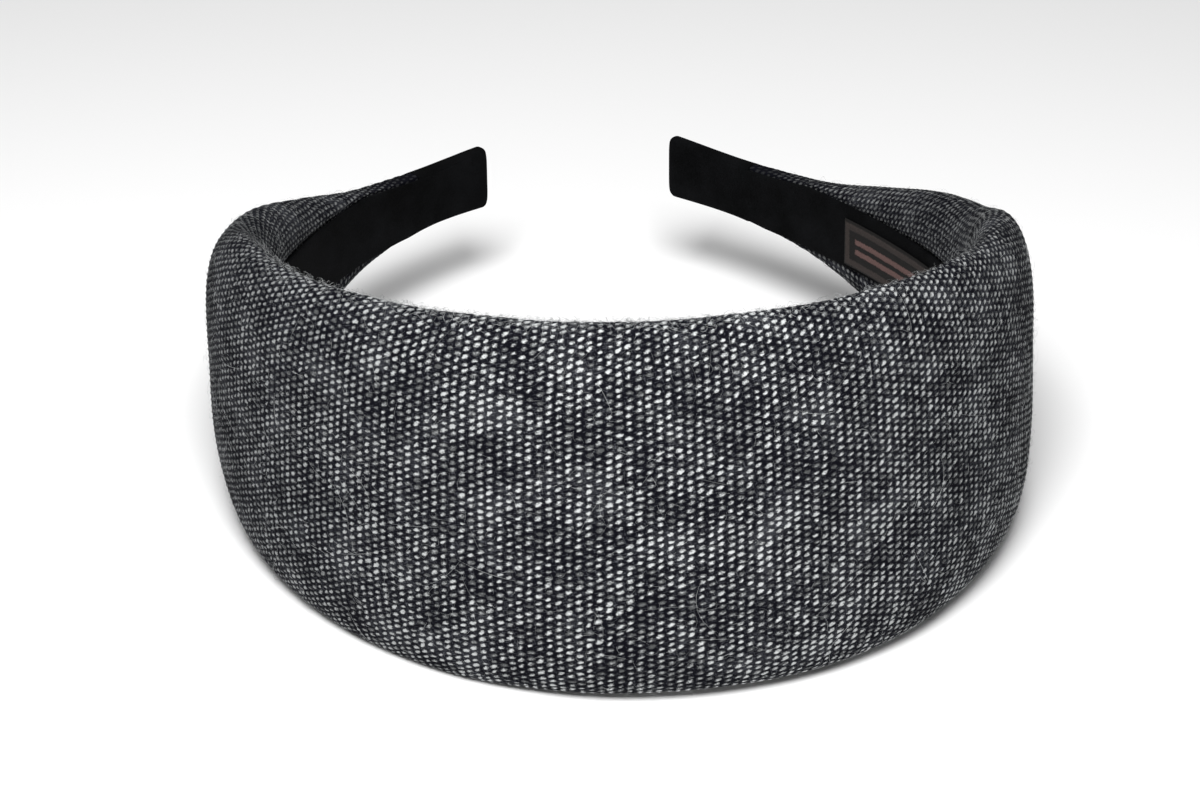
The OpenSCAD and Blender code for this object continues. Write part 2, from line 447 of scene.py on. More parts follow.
    def find_rest(self):
        """Of all the tilts, tips down, takes the one that brings the weight lowest over the lower edge."""
        s = np.linspace(0, self.half_length, self.REST_STATIONS)
        weights = self.half_height(s) * self.thickness(s)
        centre = weights @ self.lay(s, self.thickness(s) / 2, 0) / weights.sum()
        edge = self.lay(s, self.edge_share * self.thickness(s), -self.half_height(s))
        degrees = np.arange(-self.WIDEST_TILT, self.WIDEST_TILT + self.TILT_STEP / 2, self.TILT_STEP)
        tilts = np.radians(degrees)[:, None]
        heights = edge[:, 2] * np.cos(tilts) - edge[:, 1] * np.sin(tilts)
        lifts = (centre[2] * np.cos(tilts) - centre[1] * np.sin(tilts))[:, 0] - heights.min(1)
        best = lifts.argmin()
        self.tilt = tilts[best, 0]
        self.rest_y = edge[heights[best].argmin(), 1]

    def turn(self, p):
        """Points turned by the twist, which leaves the resting edges level, and then tilted."""
        z = p[..., 2] + p[..., 0] * math.tan(self.twist) * (1 - p[..., 1] / self.rest_y)
        return np.stack([
            p[..., 0],
            p[..., 1] * math.cos(self.tilt) + z * math.sin(self.tilt),
            z * math.cos(self.tilt) - p[..., 1] * math.sin(self.tilt),
        ], -1)

    def match_box(self):
        """Takes the place of the band from the solid's box."""
        low, high = (in_mm(np.array(corner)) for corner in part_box("tweed_cover"))
        stations = np.linspace(-self.wrap_at, self.wrap_at, self.BOX_STATIONS)
        points = np.concatenate([self.turn(self.lay(s, *self.profile(s).T)) for s in stations])
        side = (low[0] + high[0] - points[:, 0].min() - points[:, 0].max()) / 2
        self.move = np.array([side, low[1] - points[:, 1].min(), high[2] - points[:, 2].max()])

    def stand(self, p):
        """Laid points, stood on the floor in the solid's place."""
        q = self.turn(p) + self.move
        q[..., 2] = np.maximum(q[..., 2], 0)
        return q

    def profile(self, s):
        """The padded section at one length, as points [out, up] from the lining round its outer face."""
        one, steps = np.array([abs(s)]), self.PROFILE_STEPS
        h, t = self.half_height(one)[0], self.thickness(one)[0]
        edge, roll = self.edge_share * t, self.roll_depth * self.share(one, ROLL)[0]
        turn = np.linspace(-math.pi / 2, math.pi / 2, 2 * steps + 1)
        cos, sin = np.clip(np.cos(turn), 0, 1), np.sin(turn)
        outer = np.stack([
            edge + (t - edge) * cos ** (2 / self.outer_fullness),
            h * np.sign(sin) * np.abs(sin) ** (2 / self.edge_fullness),
        ], -1)
        k = np.arange(1, steps // 2 + 1) / (steps // 2)
        rolls = []
        for side in (-1, 1):
            seat = self.seat_reach(one, side)[0]
            back = np.stack([
                edge * (1 - k) ** 2 - roll * np.sin(math.pi * k),
                side * ((h + seat) / 2 + (h - seat) / 2 * np.cos(math.pi * k)),
            ], -1)
            rolls.append(np.concatenate([back, [[0, 0]]]))
        return np.concatenate([rolls[0][::-1], outer, rolls[1]])


class Chart:
    """A map of the cover: places and outward directions by length along the band and distance round it."""

    # Its steps along the band and round it, in millimetres
    STEP_S, STEP_V = 1.0, 0.25
    # How far it runs under the wrapped ends, in millimetres
    TUCK = 4

    def __init__(self, form):
        reach = form.wrap_at + self.TUCK
        self.s = np.linspace(-reach, reach, int(2 * reach / self.STEP_S) + 1)
        sections = [form.profile(s) for s in self.s]
        middle = len(sections[0]) // 2
        runs = [run - run[middle] for run in (self.run(section) for section in sections)]
        count = int(max(run[-1] for run in runs) / self.STEP_V) + 1
        self.v = np.arange(-count, count + 1) * self.STEP_V
        out, up = (
            np.array([np.interp(self.v, run, section[:, k]) for run, section in zip(runs, sections)])
            for k in (0, 1)
        )
        # Limits below the middle of the outer face, and above it
        self.half_girth = np.array([(-run[0], run[-1]) for run in runs]).T
        self.seat_at = self.half_girth - np.array([form.seat_reach(self.s, side) for side in (-1, 1)])
        self.rim_at = np.array([-run[middle - form.PROFILE_STEPS] for run in runs])
        self.points = form.stand(form.lay(self.s[:, None], out, up))
        along, across = np.gradient(self.points, axis=0), np.gradient(self.points, axis=1)
        self.normals = unit(np.cross(along, across))

    def run(self, section):
        """Distances along a section, from its first point."""
        return np.concatenate([[0], np.cumsum(np.linalg.norm(np.diff(section, axis=0), axis=1))])

    def at(self, s, v):
        """Points and outward directions at lengths s and distances v."""
        before_end = 1.001
        a = np.clip((s - self.s[0]) / (self.s[1] - self.s[0]), 0, len(self.s) - before_end)
        b = np.clip((v - self.v[0]) / self.STEP_V, 0, len(self.v) - before_end)
        i, j = a.astype(int), b.astype(int)
        a, b = (a - i)[..., None], (b - j)[..., None]

        def blend(grid):
            return (
                grid[i, j] * (1 - a) * (1 - b)
                + grid[i + 1, j] * a * (1 - b)
                + grid[i, j + 1] * (1 - a) * b
                + grid[i + 1, j + 1] * a * b
            )

        return blend(self.points), unit(blend(self.normals))

    def limit(self, what, s, v):
        """A limit at lengths s, for distances v below or above the middle of the outer face."""
        return np.where(v < 0, np.interp(s, self.s, what[0]), np.interp(s, self.s, what[1]))


class Value:
    """A number socket of a cloth's material, with Python's operators."""

    def __init__(self, cloth, socket):
        self.cloth, self.socket = cloth, socket

    def maths(self, operation, *others):
        """A Math node on this value and then the others."""
        inputs = dict(enumerate((self, *others)))
        return self.cloth.value("ShaderNodeMath", {"operation": operation}, inputs)

    def reflected(self, operation, first):
        """A Math node on a plain number and then this value."""
        return self.cloth.value("ShaderNodeMath", {"operation": operation}, {0: first, 1: self})

    def __add__(self, other):
        return self.maths("ADD", other)

    def __sub__(self, other):
        return self.maths("SUBTRACT", other)

    def __rsub__(self, other):
        return self.reflected("SUBTRACT", other)

    def __mul__(self, other):
        return self.maths("MULTIPLY", other)

    def __truediv__(self, other):
        return self.maths("DIVIDE", other)

    def __rtruediv__(self, other):
        return self.reflected("DIVIDE", other)

    def __pow__(self, other):
        return self.maths("POWER", other)

    def __rpow__(self, other):
        return self.reflected("POWER", other)

    def __mod__(self, other):
        return self.maths("FLOORED_MODULO", other)

    def __rmod__(self, other):
        return self.reflected("FLOORED_MODULO", other)

    def __abs__(self):
        return self.maths("ABSOLUTE")

    __radd__, __rmul__ = __add__, __mul__

    def floor(self):
        return self.maths("FLOOR")

    def sine(self):
        return self.maths("SINE")

    def at_most(self, other):
        return self.maths("MINIMUM", other)

    def clamped(self):
        """The value kept between 0 and 1."""
        return self.maths("MAXIMUM", 0.0).at_most(1.0)


class Cloth:
    """A material built from nodes, on one Principled shader."""

    def __init__(self, name):
        self.material = bpy.data.materials.new(name)
        self.material.use_nodes = True
        self.tree = self.material.node_tree
        self.shader = self.tree.nodes["Principled BSDF"]

    def node(self, kind, settings=None, inputs=None, output=0):
        """A node with its settings set first and then its sockets, by name or place. Returns one output."""
        made = self.tree.nodes.new(kind)
        for name, value in (settings or {}).items():
            if name == "stops":
                self.stops(made.color_ramp, value)
            else:
                setattr(made, name, value)
        for name, value in (inputs or {}).items():
            self.feed(made.inputs[name], value)
        return made.outputs[output]

    def feed(self, socket, value):
        """Links a value or a socket, or sets a plain number or colour."""
        if isinstance(value, Value):
            value = value.socket
        if isinstance(value, bpy.types.NodeSocket):
            self.tree.links.new(value, socket)
        elif socket.type == "RGBA" and len(value) == 3:
            socket.default_value = (*value, 1)
        else:
            socket.default_value = value

    def stops(self, ramp, stops):
        """Sets a ramp's stops, as places and grey levels."""
        while len(ramp.elements) < len(stops):
            ramp.elements.new(1)
        for element, (place, level) in zip(ramp.elements, stops):
            element.position, element.color = place, (level, level, level, 1)

    def set(self, **sockets):
        """Feeds the shader's own sockets, named with underscores."""
        for name, value in sockets.items():
            self.feed(self.shader.inputs[name.replace("_", " ")], value)

    def value(self, *args, **kwargs):
        return Value(self, self.node(*args, **kwargs))

    def ramp(self, value, *stops):
        return self.value("ShaderNodeValToRGB", {"stops": stops}, {"Fac": value})

    def mix(self, factor, a, b):
        """A colour between a and b. Sockets 6 and 7 of a Mix node take colours, and output 2 gives one."""
        settings = {"data_type": "RGBA", "clamp_factor": True}
        return self.node("ShaderNodeMix", settings, {0: factor, 6: a, 7: b}, output=2)

    def vector(self, x, y=0.0, z=0.0):
        """A place for a noise. Its z only keeps one noise apart from another."""
        return self.node("ShaderNodeCombineXYZ", None, {0: x, 1: y, 2: z})

    def parts(self, vector):
        """The three numbers of a vector or a colour."""
        split = self.node("ShaderNodeSeparateXYZ", None, {0: vector}).node
        return [Value(self, output) for output in split.outputs]

    def weave_map(self):
        """Length along the piece and distance across it, in millimetres."""
        return self.parts(self.node("ShaderNodeUVMap", {"uv_map": WEAVE_MAP}))[:2]

    def noise(self, vector, scale, detail=2.0, roughness=0.5):
        inputs = {"Vector": vector, "Scale": scale, "Detail": detail, "Roughness": roughness}
        return self.value("ShaderNodeTexNoise", None, inputs)

    def swing(self, *noise):
        """A noise that swings about zero."""
        return self.noise(*noise) - 0.5

    def random(self, vector, output="Value"):
        """A random number in each whole cell, or a random colour."""
        return self.node("ShaderNodeTexWhiteNoise", {"noise_dimensions": "3D"}, {"Vector": vector}, output)

    def bump(self, height, distance, strength):
        inputs = {"Height": height, "Distance": distance, "Strength": strength}
        return self.node("ShaderNodeBump", None, inputs)


def tweed_cloth(look, wrap_at):
    """Grey tweed: pale slanted weft floats in a checkerboard over a navy-black warp, heathered, with painted
    shade on the arms and near the wrapped ends.
    """
    cloth = Cloth("tweed")
    u, v = cloth.weave_map()
    plane = cloth.vector(u, v)
    column_width, repeat = in_mm(look.warp_pitch), in_mm(look.pick_repeat)

    # Slow waver of the yarns, in millimetres, so that no row or column runs dead straight
    warp_waver = 0.55
    pick_waver = 0.35
    columns = (u + cloth.swing(plane, 0.35) * warp_waver) / column_width
    column = columns.floor()
    odd = column % 2.0
    weft = v - u * look.skew + cloth.swing(cloth.vector(u, v, 7.0), 0.5) * pick_waver
    repeats = weft / repeat + odd * 0.5
    row = repeats.floor()

    # One random colour for each float: its brightness, its size, its place and its slant
    column_shift = 0.16
    row_shift = 0.20
    slant_spread = 0.28
    least_size, size_spread = 0.80, 0.36
    chance, chance_x, chance_y = cloth.parts(cloth.random(cloth.vector(column, row), "Color"))
    x = (columns - column - 0.5 + (chance_x - 0.5) * column_shift) * column_width
    y = (repeats - row - 0.5 + (chance_y - 0.5) * row_shift) * repeat
    slant_cos, slant_sin = math.cos(look.float_slant), math.sin(look.float_slant)
    along = x * slant_cos + y * slant_sin
    across = y * slant_cos - x * slant_sin + along * (chance_y - chance_x) * slant_spread
    size = least_size + chance * size_spread

    # Each float is a dome with a ragged outline, its half length and half width in millimetres
    half_length, half_width = 0.50, 0.355
    raggedness = 3.2
    edge_sharpness, edge_reach = 1.3, 0.38
    ragged = cloth.swing(cloth.vector(u * 0.85, v, 3.0), 3.0, 3, 0.7) * raggedness
    dome = 1.0 - (along / (size * half_length)) ** 2.0 - (across / (size * half_width)) ** 2.0 + ragged
    mask = (dome * edge_sharpness + edge_reach).clamped()

    # Heather: patches, streaks down single warps, bars along single picks, strands in a float, and clumps
    patch = cloth.swing(plane, 0.10, 4, 0.62)
    streak = cloth.swing(cloth.vector(column * 3.7, v * 0.045), 1.0)
    bar = cloth.swing(cloth.vector(u * 0.06, row * 2.3 + odd * 1.3), 1.0)
    strands = cloth.swing(cloth.vector(along * 1.8 + chance * 30.0, across * 8.0), 1.0)
    clumps = cloth.swing(cloth.vector(u * 1.2, v * 1.4, 11.0), 2.2, 2, 0.6)
    lively = cloth.ramp(chance_x, (0.0, 0.10), (0.2, 0.40), (0.45, 0.66), (1.0, 0.90))
    # edge_dimming darkens each float towards its rim: partly the pale yarn thinning out over the dark warp,
    # partly painted shade where the float dips into the weave, leaving a painted highlight on its core
    edge_dimming, base, contrast = 0.9, 0.27, 1.5
    bright = lively + patch * 2.4 + streak * 1.1 + bar * 0.7 + strands + clumps * 1.6
    bright = (bright - (1.0 - dome.clamped()) * edge_dimming + base).clamped() ** contrast

    # Painted shade: away from the front the floats grow duller, and near the wrapped ends they darken and
    # vanish, standing in for the light falling off towards the arms and the tips. In millimetres
    shade_from, shade_over = 15.0, 85.0
    tip_shade_before, tip_shade_over = 16.0, 13.0
    side_shade = ((abs(u) - shade_from) / shade_over).clamped()
    tip_shade = ((abs(u) - (wrap_at - tip_shade_before)) / tip_shade_over).clamped()
    bright = bright * (1.0 - side_shade * look.arm_shade) * (1.0 - tip_shade * 0.9)
    yarn = cloth.mix(bright, look.grey_yarn, look.pale_yarn)

    # The warp, with fine grey fibres across it in two directions
    level = cloth.noise(cloth.vector(u * 1.3 + v * 0.5, v * 4.4 - u * 1.3), 1.0)
    steep = cloth.noise(cloth.vector(u * 4.2 + v * 1.3, v * 1.1, 9.0), 1.0)
    fibre_contrast = 5.0
    level_fibres = ((level - 0.52) * fibre_contrast).clamped() * 0.46
    steep_fibres = ((steep - 0.54) * fibre_contrast).clamped() * 0.42
    # The painted shade also lifts the fine fibres a little on the arms and darkens them near the wrapped
    # ends
    fibres = (level_fibres + steep_fibres + patch + side_shade * 0.04 - tip_shade * 0.5 - 0.04).clamped()
    ground = cloth.mix(fibres, look.dark_yarn, look.dusty_fibre)
    # Near the wrapped ends the painted shade hides the floats
    colour = cloth.mix(mask * (1.0 - tip_shade * 0.8), ground, yarn)
    height = dome.clamped() * 0.75 + mask * 0.2 + strands * 0.3 * mask + fibres * 0.15
    bump = cloth.bump(height, 0.00022, 0.9)
    cloth.set(Base_Color=colour, Normal=bump, Roughness=0.95, Specular_IOR_Level=0.06)
    return cloth.material


def fibre_cloth(look):
    """Single wool fibres, pale or grey."""
    cloth = Cloth("wool_fibre")
    number, _ = cloth.weave_map()
    tone = cloth.random(cloth.vector(number.floor(), 1.0))
    colour = cloth.mix(tone, look.grey_yarn, look.pale_yarn)
    cloth.set(Base_Color=colour, Roughness=0.8, Specular_IOR_Level=0.3)
    return cloth.material


def lining_cloth(look):
    """Short-napped black suede cloth."""
    cloth = Cloth("lining_suede")
    where = cloth.node("ShaderNodeTexCoord", output="Object")
    nap = cloth.noise(where, 2600.0, 3, 0.65)
    brushed = cloth.noise(where, 120.0, 3, 0.6)
    tone = ((nap - 0.5) * 1.1 + (brushed - 0.5) * 2.0 + 0.45).clamped()
    dark, light = (tuple(part * level for part in look.lining_black) for level in (0.35, 2.3))
    colour, bump = cloth.mix(tone, dark, light), cloth.bump(nap, 0.00012, 0.8)
    cloth.set(Base_Color=colour, Normal=bump, Roughness=0.82 + brushed * 0.16, Specular_IOR_Level=0.045)
    return cloth.material


def label_cloth(look):
    """Fine woven ribbon: a border, a darker ground and plain bars, all in ribs, with painted shade and
    highlight on the ribs.
    """
    cloth = Cloth("label_ribbon")
    u, v = cloth.weave_map()
    length, height = in_mm(look.label_length), in_mm(look.label_height)
    # The border and the two bars, by their distances from the label's edges and middle in millimetres
    border_from, border_to = 0.35, 1.75
    bars_from, bar_at, half_bar = 3.2, 1.0, 0.62
    rib_pitch, thread_pitch = 0.28, 0.22
    fraying, crispness = 0.9, 5
    frayed = cloth.swing(cloth.vector(u, v), 3.0, 3, 0.7) * fraying
    from_end = length / 2 - abs(u - length / 2)
    inside = from_end.at_most(height / 2 - abs(v)) + frayed
    border = ((inside - border_from) * crispness).clamped() * ((border_to - inside) * crispness).clamped()
    off_bar = abs(abs(v + frayed) - bar_at)
    along_bar = from_end + frayed - bars_from
    bar = ((half_bar - off_bar) * crispness).clamped() * (along_bar * crispness).clamped()

    ribs = (v * (2 * math.pi / rib_pitch)).sine() * 0.5 + 0.5
    threads = (u * (2 * math.pi / thread_pitch)).sine() * 0.5 + 0.5
    mottle = cloth.noise(cloth.vector(u, v, 5.0), 2.2, 3, 0.7)
    ground = cloth.mix(border, look.label_ground, look.label_border)
    colour = cloth.mix(bar, ground, look.label_bar)
    # Painted shade and highlight: the ribs and threads darken the colour to a shaded copy and lighten it to
    # a lit one, under a random mottle
    shade = (0.45 + ribs * 0.2 + threads * 0.2 + (mottle - 0.5) * 1.1).clamped()
    rib_shaded, raised = cloth.mix(0.55, colour, (0, 0, 0)), cloth.mix(0.03, colour, (0.3, 0.27, 0.26))
    relief = ribs * 0.35 + threads * 0.3 + bar * 0.5 + border * 0.4 + mottle * 0.3
    colour, bump = cloth.mix(shade, rib_shaded, raised), cloth.bump(relief, 0.00016, 0.8)
    cloth.set(Base_Color=colour, Normal=bump, Roughness=0.8, Specular_IOR_Level=0.15)
    return cloth.material


def floor_finish(look):
    """Matt pale floor with a faint unevenness."""
    cloth = Cloth("pale_floor")
    tone = cloth.noise(cloth.node("ShaderNodeTexCoord", output="Object"), 2.0)
    darker = tuple(part * 0.985 for part in look.floor_colour)
    colour = cloth.mix(tone, darker, look.floor_colour)
    cloth.set(Base_Color=colour, Roughness=0.9, Specular_IOR_Level=0.1)
    return cloth.material


def grid_faces(rows, columns, keep=None, wrap=False):
    """Corner numbers of the quads of a grid of points, rows by columns."""
    i, j = np.meshgrid(np.arange(rows - 1), np.arange(columns if wrap else columns - 1), indexing="ij")
    k = (j + 1) % columns
    quads = np.stack([i * columns + j, i * columns + k, (i + 1) * columns + k, (i + 1) * columns + j], -1)
    return quads.reshape(-1, 4) if keep is None else quads[keep]


def make_piece(name, points, quads, weave, material, ends=()):
    """A smooth mesh object from points in millimetres, with its weave map."""
    used, numbers = np.unique(quads, return_inverse=True)
    quads = numbers.reshape(quads.shape)
    ends = [np.searchsorted(used, face).tolist() for face in ends]
    mesh = bpy.data.meshes.new(name)
    mesh.from_pydata((points[used] * MM).tolist(), [], quads.tolist() + ends)
    mesh.update()
    corners = np.empty(len(mesh.loops), np.int32)
    mesh.loops.foreach_get("vertex_index", corners)
    layer = mesh.uv_layers.new(name=WEAVE_MAP)
    layer.data.foreach_set("uv", weave[used][corners].astype(np.float32).ravel())
    mesh.shade_smooth()
    mesh.materials.append(material)
    piece = bpy.data.objects.new(name, mesh)
    bpy.context.scene.collection.objects.link(piece)
    return piece


def unevenness(s, v):
    """The padding's slight unevenness, in millimetres: a sum of long waves, each with its own heading."""
    waves, depth = 14, 0.045
    shortest, longest = 14, 42
    random = np.random.default_rng(11)
    total = np.zeros(np.broadcast(s, v).shape)
    for _ in range(waves):
        length, heading, start = (random.uniform(*span) for span in ((shortest, longest), TURN, TURN))
        along = s * math.cos(heading) + v * math.sin(heading)
        total = total + np.sin(along * 2 * math.pi / length + start) * length / longest
    return total * depth


class HAIRBAND_OT_tweed_cover(bpy.types.Operator):
    """Builds the padded tweed cover, with its weave in real relief"""

    bl_idname = "hairband.tweed_cover"
    bl_label = "Tweed Cover"

    # How far from the middle the close columns reach, and the close rows past the rim, in millimetres
    CLOSE_REACH, PAST_RIM = 88.0, 5
    # How far the cloth runs under the wrapped ends and past the lining's seat, in millimetres
    TUCK, PAST_SEAT = 2, 2.5
    # How long before the seat and the wrapped ends the relief fades, and the unevenness, in millimetres
    SEAT_FADE, WRAP_FADE, SOFT_FADE = 1.5, 1.0, 8
    # Close rows in one repeat of the weave, and close rows in one wide one
    ROWS_IN_REPEAT, CLOSE_IN_WIDE = 4, 4
    # Rows that the weft's slope needs past the widest section
    SPARE_ROWS = 60
    # Added before rounding down, so that a line between two columns counts to the second one
    NUDGE = 1e-6

    def execute(self, context):
        look, form = context.scene.hairband_tweed, BandForm(context.scene.hairband_sizes)
        chart = Chart(form)
        column_width, row_step = in_mm(look.warp_pitch), in_mm(look.pick_repeat) / self.ROWS_IN_REPEAT
        s = self.columns(form, column_width / 2)
        rows, close = self.rows(chart, row_step)
        grid_s, grid_row = np.meshgrid(s, rows, indexing="ij")
        v = grid_row * row_step + look.skew * grid_s
        limit = chart.limit(chart.half_girth, grid_s, v)
        seat = chart.limit(chart.seat_at, grid_s, v)
        points, normals = chart.at(grid_s, np.clip(v, -limit, limit))

        # Floats rise in the middle of each column, half a repeat further on in every second one
        column = np.floor(grid_s / column_width + self.NUDGE)
        middle = np.abs(np.sin(grid_s / column_width * math.pi))
        phase = grid_row / self.ROWS_IN_REPEAT + 0.5 * np.mod(column, 2) - 0.5
        relief = in_mm(look.relief) * np.cos(2 * math.pi * phase) * middle * (np.abs(grid_row) <= close)
        to_seat, to_wrap = seat - np.abs(v), form.wrap_at - np.abs(grid_s)
        relief = relief * np.clip(to_seat / self.SEAT_FADE, 0, 1) * np.clip(to_wrap / self.WRAP_FADE, 0, 1)
        lift = relief + unevenness(grid_s, v) * np.clip(to_seat / self.SOFT_FADE, 0, 1)
        points = points + normals * lift[..., None]
        points[..., 2] = np.maximum(points[..., 2], 0)

        inside = np.abs(v) <= np.minimum(seat + self.PAST_SEAT, limit)
        keep = inside[:-1, :-1] & inside[1:, :-1] & inside[1:, 1:] & inside[:-1, 1:]
        quads = grid_faces(len(s), len(rows), keep)
        weave = np.stack([grid_s, v], -1).reshape(-1, 2)
        cloth = tweed_cloth(look, form.wrap_at)
        piece = make_piece("tweed_cover_cloth", points.reshape(-1, 3), quads, weave, cloth)
        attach(piece, "root")
        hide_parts("tweed_cover")
        return {"FINISHED"}

    def columns(self, form, half_column):
        """Lengths at the floats' middles, and between them as far as the sides."""
        count = int((form.wrap_at + self.TUCK) / half_column)
        step = np.arange(-count, count + 1)
        return step[(abs(step) * half_column < self.CLOSE_REACH) | (step % 2 == 1)] * half_column

    def rows(self, chart, row_step):
        """Numbers of the rows, close on the outer face and wide inside, and the last close one."""
        close = math.ceil((chart.rim_at.max() + self.PAST_RIM) / row_step)
        last = math.ceil(chart.half_girth.max() / row_step) + self.SPARE_ROWS
        wide = np.arange(close + self.CLOSE_IN_WIDE, last, self.CLOSE_IN_WIDE)
        return np.concatenate([-wide[::-1], np.arange(-close, close + 1), wide]), close


class HAIRBAND_OT_fibres(bpy.types.Operator):
    """Lays the tweed's fuzz and stray fibres"""

    bl_idname = "hairband.fibres"
    bl_label = "Fuzz and Stray Fibres"

    # Middle and spread of the rim's fibres along the band, in millimetres
    RIM_MIDDLE, RIM_SPREAD = -16, 30
    # How far before and past the rim they root, in millimetres
    RIM_BAND = (-2.0, 4.5)
    # How far fibres root from the wrapped ends and the lining's seat, and stay off them, in millimetres
    ROOT_OFF, RUN_OFF = 3, 1
    # Least height over the cloth and over the floor, in millimetres
    OVER_CLOTH, OVER_FLOOR = 0.12, 0.03
    # Places tried for each fibre, since some miss the cloth
    TRIES = 3
    # Sides of a fibre, and a direction that hardly any of them runs in
    SIDES, ASKEW = 3, (0.31, 0.47, 0.83)
    # Stretch of a half wave that a fibre's taper follows, and its spread of widths
    TAPER, WIDTHS = (0.35, math.pi - 0.15), (0.6, 1.2)
    # Least share of the highest lift, and least share of an arch that a fibre follows, with its spread
    LEAST_LIFT, LEAST_ARCH, ARCH_SPREAD = 0.1, 0.55, 0.5

    def execute(self, context):
        look, form = context.scene.hairband_tweed, BandForm(context.scene.hairband_sizes)
        chart = Chart(form)
        random = np.random.default_rng(5)
        kinds = (
            # Count, lengths, stations, highest lift, bend, width, and whether along the upper rim only
            (look.fuzz_fibres, (0.8, 2.8), 5, 0.9, 1.4, 0.030, False),
            (look.rim_fibres, (0.5, 1.9), 5, 0.85, 1.8, 0.042, True),
            (look.stray_fibres, (3.5, 11.0), 9, 0.45, 0.7, 0.042, False),
        )
        parts, start, numbered = [], 0, 0
        for count, lengths, stations, lift, bend, width, on_rim in kinds:
            s, v = self.roots(random, form, chart, count, on_rim)
            paths = self.paths(random, form, chart, s, v, lengths, stations, lift, bend)
            widths = random.uniform(*self.WIDTHS, len(s)) * width
            points, quads, weave = self.tubes(paths, widths)
            weave[:, 0] += numbered
            parts.append((points, quads + start, weave))
            start += len(points)
            numbered += len(s)
        points, quads, weave = (np.concatenate(group) for group in zip(*parts))
        piece = make_piece("tweed_fuzz", points, quads, weave, fibre_cloth(look))
        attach(piece, "root")
        return {"FINISHED"}

    def roots(self, random, form, chart, count, on_rim):
        """Lengths along the band and distances round it where fibres start."""
        tried = count * self.TRIES
        if on_rim:
            s = random.normal(self.RIM_MIDDLE, self.RIM_SPREAD, tried)
            v = np.interp(s, chart.s, chart.rim_at) + random.uniform(*self.RIM_BAND, tried)
        else:
            reach = form.wrap_at - self.ROOT_OFF
            s = random.uniform(-reach, reach, tried)
            v = random.uniform(-1, 1, tried) * chart.half_girth.max()
        good = np.abs(v) < chart.limit(chart.seat_at, s, v) - self.ROOT_OFF
        return s[good][:count], v[good][:count]

    def paths(self, random, form, chart, s, v, lengths, stations, lift, bend):
        """Points along each fibre, which curls over the cloth and stands off it."""
        t = np.linspace(0, 1, stations)
        length = random.uniform(*lengths, len(s))
        turn = random.uniform(*TURN, len(s))[:, None] + t * random.normal(0, bend, len(s))[:, None]
        step = length[:, None] / (stations - 1)
        s = s[:, None] + np.cumsum(np.cos(turn) * step, 1)
        v = v[:, None] + np.cumsum(np.sin(turn) * step, 1)
        room = chart.limit(chart.seat_at, s, v) - self.RUN_OFF
        reach = form.wrap_at - self.RUN_OFF
        points, normals = chart.at(np.clip(s, -reach, reach), np.clip(v, -room, room))
        top = random.uniform(self.LEAST_LIFT, 1, len(s))[:, None] ** 2 * lift
        arch = self.LEAST_ARCH + random.uniform(0, 1, len(s))[:, None] * self.ARCH_SPREAD
        high = self.OVER_CLOTH + top * np.sin(math.pi * np.minimum(t * arch, 1))
        paths = points + normals * high[..., None]
        paths[..., 2] = np.maximum(paths[..., 2], self.OVER_FLOOR)
        return paths

    def tubes(self, paths, widths):
        """Points, quads and weave places of thin tubes along the fibres' paths."""
        fibres, stations, _ = paths.shape
        heading = unit(np.gradient(paths, axis=1))
        side = unit(np.cross(heading, np.array(self.ASKEW)))
        other = np.cross(heading, side)
        taper = np.sin(np.linspace(*self.TAPER, stations))[None, :, None, None]
        angles = [2 * math.pi * k / self.SIDES for k in range(self.SIDES)]
        ring = np.stack([side * math.cos(angle) + other * math.sin(angle) for angle in angles], 2)
        points = paths[:, :, None] + ring * widths[:, None, None, None] * taper / 2
        first = np.arange(fibres)[:, None, None] * stations * self.SIDES
        quads = (grid_faces(stations, self.SIDES, wrap=True)[None] + first).reshape(-1, 4)
        number = np.repeat(np.arange(fibres) + 0.5, stations * self.SIDES)
        run = np.tile(np.repeat(np.linspace(0, 1, stations), self.SIDES), fibres)
        return points.reshape(-1, 3), quads, np.stack([number, run], -1)


def flat_ring(inner, outer, height, corner, steps):
    """A flat section with rounded corners, as points [out, up]."""
    corner = min(corner, (outer - inner) / 2, height / 2)
    ring = []
    for k, (side_out, side_up) in enumerate(((1, 1), (-1, 1), (-1, -1), (1, -1))):
        centre_out = (outer - corner) if side_out > 0 else (inner + corner)
        centre = np.array([centre_out, side_up * (height / 2 - corner)])
        for i in range(steps + 1):
            a = math.pi / 2 * (k + i / steps)
            ring.append(centre + corner * np.array([math.cos(a), math.sin(a)]))
    return np.array(ring)


def refine(ring, spacing):
    """A closed ring with points added along its long sides."""
    more = []
    for a, b in zip(ring, np.roll(ring, -1, axis=0)):
        count = max(1, int(np.linalg.norm(b - a) / spacing))
        more += [a + (b - a) * i / count for i in range(count)]
    return np.array(more)


